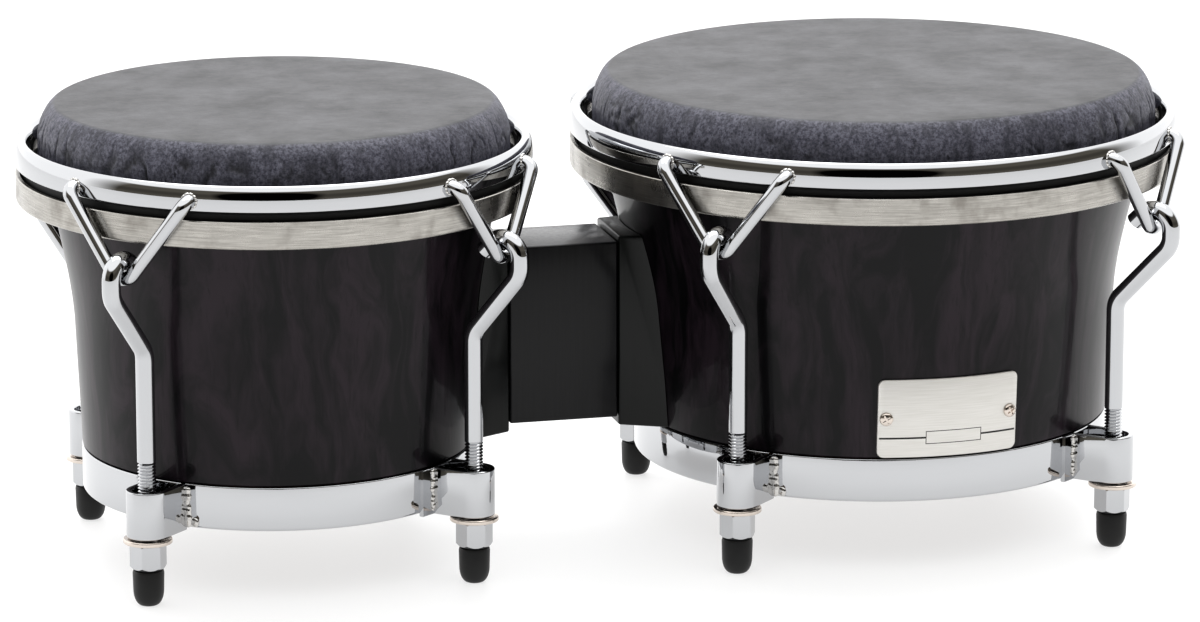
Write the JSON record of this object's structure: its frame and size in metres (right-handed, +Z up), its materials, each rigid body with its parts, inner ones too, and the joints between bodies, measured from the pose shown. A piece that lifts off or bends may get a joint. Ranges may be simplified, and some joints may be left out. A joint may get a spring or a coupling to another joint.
{
  "type": "bongo drums",
  "caption": "Pair of hand drums joined by a centre block, each with a hooped skin, a chrome rim and hooked rods tuned by nuts in its rubber feet.",
  "frame": {"origin": "centre of the footprint, on the floor under the rubber feet", "axes": "+X along the pair from the small drum to the large one, +Y to the back, +Z up"},
  "size_m": [0.458, 0.2386, 0.179],
  "materials": {
    "skin": "matte grey drum skin, darker and pleated at the collar",
    "lacquered_wood": "gloss black lacquer over figured ash",
    "block_wood": "satin black lacquer",
    "chrome": "polished chrome plate",
    "brushed_band": "brushed bare metal, lightly stained",
    "black_hoop": "black skin wrapped over the hoop",
    "nickel": "nickel plate with a warm tint",
    "zinc_steel": "zinc plated",
    "rubber": "matte black",
    "badge": "satin silver with printed lines"
  },
  "bodies": {
    "root": {"small_shell": "lacquered_wood", "small_head_skin": "skin", "small_bottom_ring": "chrome", "small_washer_front_left": "nickel", "small_washer_front_right": "nickel", "small_washer_back_right": "nickel", "small_washer_back_left": "nickel", "small_flange": "block_wood", "small_backing_plate": "zinc_steel", "small_block_bolt_lower": "zinc_steel", "small_block_bolt_upper": "zinc_steel", "large_shell": "lacquered_wood", "large_head_skin": "skin", "large_bottom_ring": "chrome", "large_washer_front_left": "nickel", "large_washer_front_right": "nickel", "large_washer_back_right": "nickel", "large_washer_back_left": "nickel", "large_flange": "block_wood", "large_backing_plate": "zinc_steel", "large_block_bolt_lower": "zinc_steel", "large_block_bolt_upper": "zinc_steel", "centre_block": "block_wood", "badge_plate": "badge", "badge_screw_left": "nickel", "badge_screw_right": "nickel"},
    "small_tuning": {"small_rim": "chrome", "small_flesh_hoop": "black_hoop", "small_hoop_band": "brushed_band", "small_rod_front_left": "chrome", "small_rod_front_right": "chrome", "small_rod_back_right": "chrome", "small_rod_back_left": "chrome"},
    "small_tuner_front_left": {"small_nut_front_left": "chrome", "small_foot_front_left": "rubber"},
    "small_tuner_front_right": {"small_nut_front_right": "chrome", "small_foot_front_right": "rubber"},
    "small_tuner_back_right": {"small_nut_back_right": "chrome", "small_foot_back_right": "rubber"},
    "small_tuner_back_left": {"small_nut_back_left": "chrome", "small_foot_back_left": "rubber"},
    "large_tuning": {"large_rim": "chrome", "large_flesh_hoop": "black_hoop", "large_hoop_band": "brushed_band", "large_rod_front_left": "chrome", "large_rod_front_right": "chrome", "large_rod_back_right": "chrome", "large_rod_back_left": "chrome"},
    "large_tuner_front_left": {"large_nut_front_left": "chrome", "large_foot_front_left": "rubber"},
    "large_tuner_front_right": {"large_nut_front_right": "chrome", "large_foot_front_right": "rubber"},
    "large_tuner_back_right": {"large_nut_back_right": "chrome", "large_foot_back_right": "rubber"},
    "large_tuner_back_left": {"large_nut_back_left": "chrome", "large_foot_back_left": "rubber"}
  },
  "joints": [
    {"name": "small_rim_travel", "type": "slide", "parent": "root", "child": "small_tuning", "axis": [0, 0, -1], "range_m": [-0.002, 0.004]},
    {"name": "small_tuner_front_left_spin", "type": "hinge", "parent": "root", "child": "small_tuner_front_left", "pos_m": [-0.19277, -0.06307, 0.019], "axis": [0, 0, 1], "range_deg": [-570, 1140]},
    {"name": "small_tuner_front_right_spin", "type": "hinge", "parent": "root", "child": "small_tuner_front_right", "pos_m": [-0.06663, -0.06307, 0.019], "axis": [0, 0, 1], "range_deg": [-570, 1140]},
    {"name": "small_tuner_back_right_spin", "type": "hinge", "parent": "root", "child": "small_tuner_back_right", "pos_m": [-0.06663, 0.06307, 0.019], "axis": [0, 0, 1], "range_deg": [-570, 1140]},
    {"name": "small_tuner_back_left_spin", "type": "hinge", "parent": "root", "child": "small_tuner_back_left", "pos_m": [-0.19277, 0.06307, 0.019], "axis": [0, 0, 1], "range_deg": [-570, 1140]},
    {"name": "large_rim_travel", "type": "slide", "parent": "root", "child": "large_tuning", "axis": [0, 0, -1], "range_m": [-0.002, 0.004]},
    {"name": "large_tuner_front_left_spin", "type": "hinge", "parent": "root", "child": "large_tuner_front_left", "pos_m": [0.03397, -0.07573, 0.019], "axis": [0, 0, 1], "range_deg": [-570, 1140]},
    {"name": "large_tuner_front_right_spin", "type": "hinge", "parent": "root", "child": "large_tuner_front_right", "pos_m": [0.18543, -0.07573, 0.019], "axis": [0, 0, 1], "range_deg": [-570, 1140]},
    {"name": "large_tuner_back_right_spin", "type": "hinge", "parent": "root", "child": "large_tuner_back_right", "pos_m": [0.18543, 0.07573, 0.019], "axis": [0, 0, 1], "range_deg": [-570, 1140]},
    {"name": "large_tuner_back_left_spin", "type": "hinge", "parent": "root", "child": "large_tuner_back_left", "pos_m": [0.03397, 0.07573, 0.019], "axis": [0, 0, 1], "range_deg": [-570, 1140]}
  ],
  "couplings": [
    {"joint": "small_tuner_front_left_spin", "follows": "small_rim_travel", "rad_per_m": 4947.4},
    {"joint": "small_tuner_front_right_spin", "follows": "small_rim_travel", "rad_per_m": 4947.4},
    {"joint": "small_tuner_back_right_spin", "follows": "small_rim_travel", "rad_per_m": 4947.4},
    {"joint": "small_tuner_back_left_spin", "follows": "small_rim_travel", "rad_per_m": 4947.4},
    {"joint": "large_tuner_front_left_spin", "follows": "large_rim_travel", "rad_per_m": 4947.4},
    {"joint": "large_tuner_front_right_spin", "follows": "large_rim_travel", "rad_per_m": 4947.4},
    {"joint": "large_tuner_back_right_spin", "follows": "large_rim_travel", "rad_per_m": 4947.4},
    {"joint": "large_tuner_back_left_spin", "follows": "large_rim_travel", "rad_per_m": 4947.4}
  ]
}
